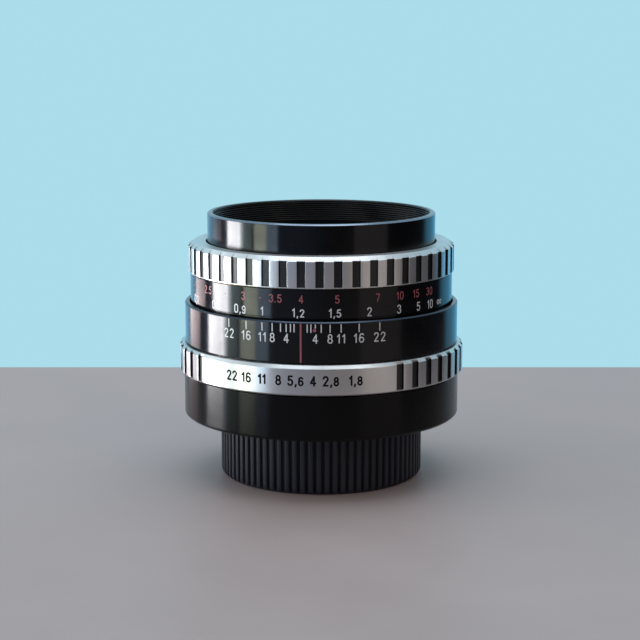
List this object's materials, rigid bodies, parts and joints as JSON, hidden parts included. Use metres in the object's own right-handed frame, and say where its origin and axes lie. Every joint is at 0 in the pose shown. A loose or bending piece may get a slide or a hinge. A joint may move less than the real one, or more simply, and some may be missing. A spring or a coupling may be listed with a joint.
{
  "type": "prime camera lens",
  "caption": "Manual screw-mount prime lens with striped focus and aperture rings, engraved scales, an extending front barrel, iris blades and a ribbed rear cap.",
  "frame": {"origin": "centre of the rear cap's bottom face, which the lens stands on", "axes": "+Z along the optical axis towards the front of the lens; -Y towards the index line of the depth-of-field scale"},
  "size_m": [0.0638, 0.0638, 0.0594],
  "materials": {
    "black_plastic": "semi-gloss moulded black with fine vertical ribs",
    "black_anodised": "satin black anodised and polished aluminium",
    "matt_black": "matt anti-reflection black",
    "satin_aluminium": "brushed along the turning direction, black paint in the grooves",
    "brass": "turned and greased",
    "steel": "bright",
    "coated_glass": "polished with a violet and amber coating"
  },
  "bodies": {
    "rear_cap": {"rear_cap": "black_plastic"},
    "housing": {"mount_thread_ring": "black_anodised", "mount_screw_1": "steel", "mount_screw_2": "steel", "mount_screw_3": "steel", "rear_light_shield": "matt_black", "base_barrel": "black_anodised", "guide_tube": "satin_aluminium", "depth_of_field_ring": "black_anodised", "depth_ring_grub_screw_1": "steel", "depth_ring_grub_screw_2": "steel", "helicoid_clamp_ring": "brass", "focus_stop_post": "steel", "click_spring": "steel", "stop_down_spring": "steel"},
    "focus_ring": {"focus_grip_ring": "satin_aluminium", "distance_scale_sleeve": "black_anodised", "focus_helicoid_nut": "brass", "focus_grip_grub_screw_1": "steel", "focus_grip_grub_screw_2": "steel", "focus_stop_tab": "steel"},
    "barrel": {"front_barrel": "black_anodised", "inner_helicoid": "satin_aluminium", "guide_key_1": "brass", "guide_key_2": "brass", "guide_key_screw_1": "steel", "guide_key_screw_2": "steel", "front_lens_cell": "matt_black", "front_element_retainer": "matt_black", "second_element_retainer": "matt_black", "front_trim_ring": "matt_black", "rear_lens_cell": "matt_black", "rear_element_retainer": "matt_black", "iris_housing": "black_anodised", "glass_1_front_meniscus": "coated_glass", "glass_2_front_positive": "coated_glass", "glass_3_front_negative": "coated_glass", "glass_4_rear_negative": "coated_glass", "glass_5_rear_positive": "coated_glass", "glass_6_rear_biconvex": "coated_glass"},
    "aperture_ring": {"aperture_ring": "satin_aluminium", "aperture_drive_screw": "steel", "aperture_drive_ring": "brass", "aperture_drive_rod": "steel"},
    "iris_cam": {"iris_cam_ring": "brass"},
    "stop_down_pin": {"stop_down_pin": "brass"},
    "click_ball": {"click_ball": "steel"},
    "iris_blade_1": {"iris_blade_1": "steel"},
    "iris_blade_2": {"iris_blade_2": "steel"},
    "iris_blade_3": {"iris_blade_3": "steel"},
    "iris_blade_4": {"iris_blade_4": "steel"},
    "iris_blade_5": {"iris_blade_5": "steel"},
    "iris_blade_6": {"iris_blade_6": "steel"}
  },
  "joints": [
    {"name": "lens_lift", "type": "slide", "parent": "rear_cap", "child": "housing", "axis": [0, 0, 1], "range_m": [0, 0.018]},
    {"name": "focus_turn", "type": "hinge", "parent": "housing", "child": "focus_ring", "pos_m": [0, 0, 0.045], "axis": [0, 0, 1], "range_deg": [-68.8, 252.6]},
    {"name": "barrel_extend", "type": "slide", "parent": "housing", "child": "barrel", "axis": [0, 0, 1], "range_m": [-0.00224, 0.00821]},
    {"name": "aperture_turn", "type": "hinge", "parent": "housing", "child": "aperture_ring", "pos_m": [0, 0, 0.0275], "axis": [0, 0, 1], "range_deg": [-21.2, 28.4]},
    {"name": "iris_cam_turn", "type": "hinge", "parent": "barrel", "child": "iris_cam", "pos_m": [0, 0, 0.029], "axis": [0, 0, 1], "range_deg": [-21.2, 28.4]},
    {"name": "pin_press", "type": "slide", "parent": "housing", "child": "stop_down_pin", "axis": [0, 0, 1], "range_m": [0, 0.0035], "stiffness_N_per_m": 150, "springref_m": -0.003},
    {"name": "click_ball_travel", "type": "slide", "parent": "housing", "child": "click_ball", "axis": [0.866, -0.5, 0], "range_m": [0, 0.0002], "stiffness_N_per_m": 300, "springref_m": -0.0002},
    {"name": "iris_blade_1_swing", "type": "hinge", "parent": "barrel", "child": "iris_blade_1", "pos_m": [0.0182, 0, 0.02695], "axis": [0, 0, 1], "range_deg": [-13.25, 17.75]},
    {"name": "iris_blade_2_swing", "type": "hinge", "parent": "barrel", "child": "iris_blade_2", "pos_m": [0.0091, 0.01576, 0.0272], "axis": [0, 0, 1], "range_deg": [-13.25, 17.75]},
    {"name": "iris_blade_3_swing", "type": "hinge", "parent": "barrel", "child": "iris_blade_3", "pos_m": [-0.0091, 0.01576, 0.02745], "axis": [0, 0, 1], "range_deg": [-13.25, 17.75]},
    {"name": "iris_blade_4_swing", "type": "hinge", "parent": "barrel", "child": "iris_blade_4", "pos_m": [-0.0182, 0, 0.0277], "axis": [0, 0, 1], "range_deg": [-13.25, 17.75]},
    {"name": "iris_blade_5_swing", "type": "hinge", "parent": "barrel", "child": "iris_blade_5", "pos_m": [-0.0091, -0.01576, 0.02795], "axis": [0, 0, 1], "range_deg": [-13.25, 17.75]},
    {"name": "iris_blade_6_swing", "type": "hinge", "parent": "barrel", "child": "iris_blade_6", "pos_m": [0.0091, -0.01576, 0.0282], "axis": [0, 0, 1], "range_deg": [-13.25, 17.75]}
  ],
  "couplings": [
    {"joint": "barrel_extend", "follows": "focus_turn", "m_per_rad": 0.0018605},
    {"joint": "iris_cam_turn", "follows": "aperture_turn", "ratio": 1},
    {"joint": "iris_blade_1_swing", "follows": "aperture_turn", "ratio": 0.625},
    {"joint": "iris_blade_2_swing", "follows": "aperture_turn", "ratio": 0.625},
    {"joint": "iris_blade_3_swing", "follows": "aperture_turn", "ratio": 0.625},
    {"joint": "iris_blade_4_swing", "follows": "aperture_turn", "ratio": 0.625},
    {"joint": "iris_blade_5_swing", "follows": "aperture_turn", "ratio": 0.625},
    {"joint": "iris_blade_6_swing", "follows": "aperture_turn", "ratio": 0.625}
  ]
}
